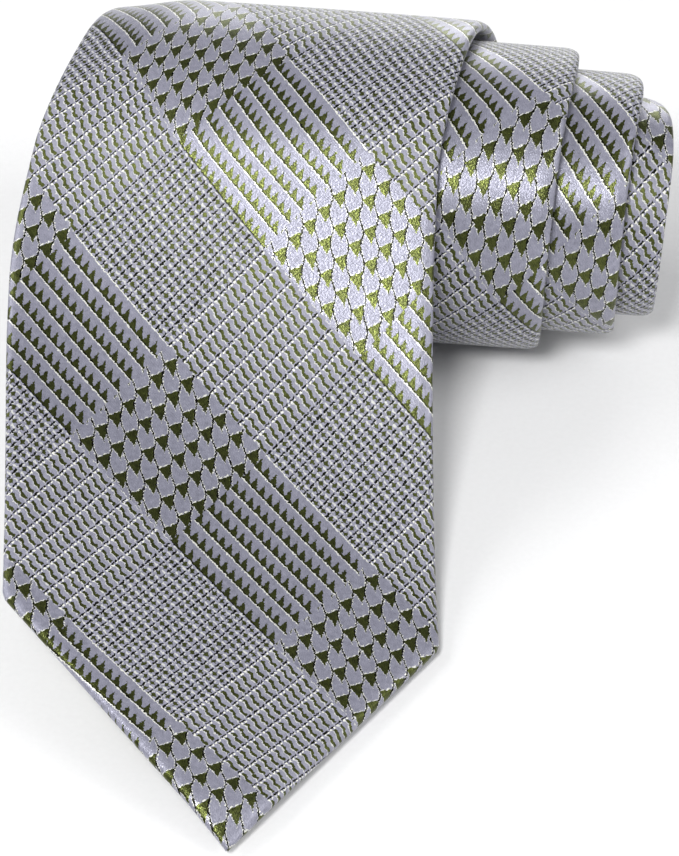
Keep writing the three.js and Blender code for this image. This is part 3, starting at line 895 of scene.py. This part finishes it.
def sew(name, paths, radius, sides=6):
    """One mesh of several threads, each closed at both ends."""
    corners, faces, uvs = [], [], []
    for points in paths:
        rings = thread_rings(points, radius, sides)
        first = len(corners)
        for ring, run in rings:
            corners += ring
            uvs += [(k, run) for k in range(sides)]
        for i in range(len(rings) - 1):
            for k in range(sides):
                a, b = first + i * sides + k, first + i * sides + (k + 1) % sides
                faces.append((a, b, b + sides, a + sides))
        faces.append(tuple(first + k for k in reversed(range(sides))))
        last = first + (len(rings) - 1) * sides
        faces.append(tuple(last + k for k in range(sides)))
    mesh = bpy.data.meshes.new(name)
    mesh.from_pydata(corners, [], faces)
    cloth_uv = mesh.uv_layers.new(name="Cloth")
    for loop in mesh.loops:
        cloth_uv.data[loop.index].uv = uvs[loop.vertex_index]
    mesh.materials.append(spun)
    mesh.shade_smooth()
    piece = bpy.data.objects.new(name, mesh)
    bpy.context.collection.objects.link(piece)
    bpy.ops.object.select_all(action="DESELECT")
    piece.select_set(True)
    bpy.context.view_layer.objects.active = piece
    bpy.ops.object.mode_set(mode="EDIT")
    bpy.ops.mesh.select_all(action="SELECT")
    bpy.ops.mesh.normals_make_consistent(inside=False)
    bpy.ops.object.mode_set(mode="OBJECT")
    return piece

# %% [markdown]
# The slip stitch swings from one flap to the other and is left loose, so that the tie
# can be pulled and springs back.
# %% The slip stitch
STITCH = 7.0  # mm from one crossing of the seam to the next
SWING = 1.1  # mm to either side of the seam
THREAD_RADIUS, TACK_RADIUS = 0.16, 0.17


def slip_path(start, end):
    """A loose thread that swings from flap to flap."""
    points, s = [], start
    while s < end:
        phase = (s - start) / STITCH * math.tau
        lift = 0.10 + 0.10 * abs(math.cos(phase))
        points.append((s, SWING * math.sin(phase), BACK - lift))
        s += 0.55
    return points


blade_slip = sew("blade_slip_thread", [slip_path(BLADE_SEAM + 1, SPLIT)], THREAD_RADIUS)
roll_slip = sew("roll_slip_thread", [slip_path(SPLIT + 0.3, TAIL_SEAM)], THREAD_RADIUS)
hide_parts("blade_slip_stitch")
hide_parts("roll_slip_stitch")
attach(roll_slip, "roll")
print("slip stitches every", STITCH, "mm")

# %% [markdown]
# A bar tack lies straight across the seam, where the flaps begin to part and the slip
# stitch would otherwise tear out.
# %% The bar tacks
TACK_HALF, TACK_ROWS, TACK_SPACING = 5.0, 8, 0.31  # mm, rows, mm


def tack_paths(start):
    """Close parallel stitches across the seam, each a low arch."""
    paths = []
    for row in range(TACK_ROWS):
        s = start + row * TACK_SPACING
        paths.append([
            (s + 0.08 * math.sin(i), TACK_HALF * (2 * i / 12 - 1),
             BACK - 0.12 - 0.22 * math.sin(math.pi * i / 12) ** 0.5)
            for i in range(13)
        ])
    return paths


blade_tack = sew("blade_tack_stitches", tack_paths(BLADE_SEAM + 1.1), TACK_RADIUS)
tail_tack = sew("tail_tack_stitches", tack_paths(TAIL_SEAM - 3.3), TACK_RADIUS)
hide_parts("blade_bar_tack")
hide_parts("tail_bar_tack")
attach(blade_tack, "blade")
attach(tail_tack, "roll")
print("tacks", 2 * TACK_HALF, "mm long, of", TACK_ROWS, "stitches")

# %% [markdown]
# The cloth, the interlining and the seam thread of the blade cross the place where the
# blade is lifted, so they are attached to no body and keep their placement baked into
# their meshes; the rest of the tie rides on the roll.
# %% What moves with what
for piece in (face_cloth["blade_face_cloth"], wool_strips["blade_wool"], blade_slip):
    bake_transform(piece)
for piece in (face_cloth["wound_face_cloth"], face_cloth["neck_face_cloth"],
              face_cloth["tail_face_cloth"], wool_strips["roll_wool"]):
    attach(piece, "roll")

# %% [markdown]
# The size that each sheet's cloth was cut to is worked out, and the face cloth's is
# printed. The face cloth is folded round the interlining, and the rest is laid inside it.
# %% The sheets' flat sizes
for name, (start, end, _, _) in lengths.items():
    flat, area = flat_size(start, end)
    print(name, [round(x, 4) for x in flat], round(area, 5))
for name, (start, end, _) in strips.items():
    flat, area = strip_size(start, end, interlining_half)
for name, (start, end, _, _) in linings.items():
    flat, area = strip_size(start, end, tipping_half)

# %% [markdown]
# The tie lies on matt white paper. Paper is never quite even, so a very faint grain runs
# through its white, and the roughness is high because paper hardly shines.
# %% The floor
bpy.ops.object.select_all(action="DESELECT")
bpy.ops.mesh.primitive_plane_add(size=6, location=(0, 0, -0.0006))
floor = bpy.context.object
floor.name = "floor"
paper, tree, shader = new_material("matt_white_paper")
place = add_node(tree, "TexCoord")
grain = add_node(tree, "TexNoise", place.outputs["Object"], 900.0, 2.0, 0.5)
paper_colour = add_node(tree, "ValToRGB", grain.outputs[0])
paper_colour.color_ramp.elements[0].color = linear("#ECECEC")
paper_colour.color_ramp.elements[1].color = linear("#F2F2F2")
tree.links.new(paper_colour.outputs[0], shader.inputs["Base Color"])
shader.inputs["Roughness"].default_value = 0.9
shader.inputs["Specular IOR Level"].default_value = 0.1
floor.data.materials.append(paper)
print("floor at", floor.location.z)

# %% [markdown]
# Soft studio light. The key lamp stands near the camera and brings up the silk's shine on
# the slope, where the cloth faces it. A wide lamp at either side lifts the rest, and a low
# one behind is mirrored by the top of the roll.
# %% The lights
def add_lamp(name, place, target, size, power):
    data = bpy.data.lights.new(name, "AREA")
    data.size, data.energy = size, power
    lamp = bpy.data.objects.new(name, data)
    bpy.context.collection.objects.link(lamp)
    lamp.location = place
    aim = [b - a for a, b in zip(place, target)]
    lamp.rotation_euler = Vector(aim).to_track_quat("-Z", "Y").to_euler()


add_lamp("key", (-0.114, -0.607, 0.748), (0.0, 0.02, 0.045), 0.22, 6.4)
add_lamp("left", (-1.1, 0.1, 0.8), (0, 0, 0), 0.9, 9.0)
add_lamp("right", (1.1, -0.2, 0.9), (0, 0, 0), 0.9, 9.0)
add_lamp("back", (0.1, 1.3, 0.36), (0, 0.05, 0.06), 0.7, 7.0)
world = bpy.data.worlds.new("studio")
world.use_nodes = True
world.node_tree.nodes["Background"].inputs["Color"].default_value = linear("#FAFBFF")
world.node_tree.nodes["Background"].inputs["Strength"].default_value = 0.22
bpy.context.scene.world = world
bpy.context.scene.view_settings.view_transform = "Standard"
